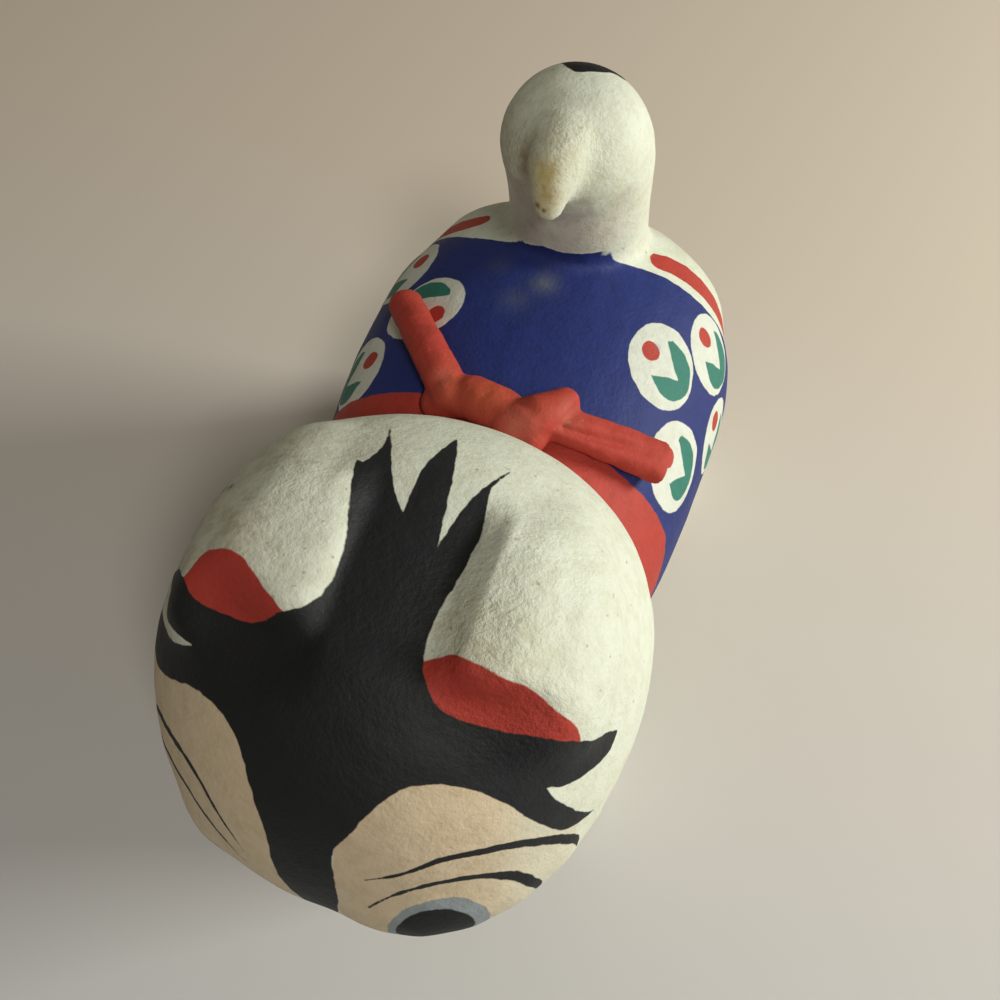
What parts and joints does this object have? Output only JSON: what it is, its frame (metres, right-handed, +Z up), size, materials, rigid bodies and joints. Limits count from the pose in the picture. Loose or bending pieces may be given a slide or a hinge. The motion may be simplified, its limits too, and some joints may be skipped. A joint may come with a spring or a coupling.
{
  "type": "papier-mache dog figure",
  "caption": "Small standing folk dog in painted papier-mache, with a large round head, stub legs, a curled upright tail and a red bow at the nape.",
  "frame": {"origin": "on the ground, in the middle of the bounding box", "axes": "+Z up; the dog looks along -Y; its left side is +X"},
  "size_m": [0.064, 0.1282, 0.1049],
  "materials": {
    "painted_paper": "matt shell-white ground over paper, painted in black, red, blue and cream",
    "bow_red": "matt red paint, rubbed"
  },
  "bodies": {
    "root": {"dog_figure": "painted_paper", "neck_bow": "bow_red"}
  },
  "joints": []
}
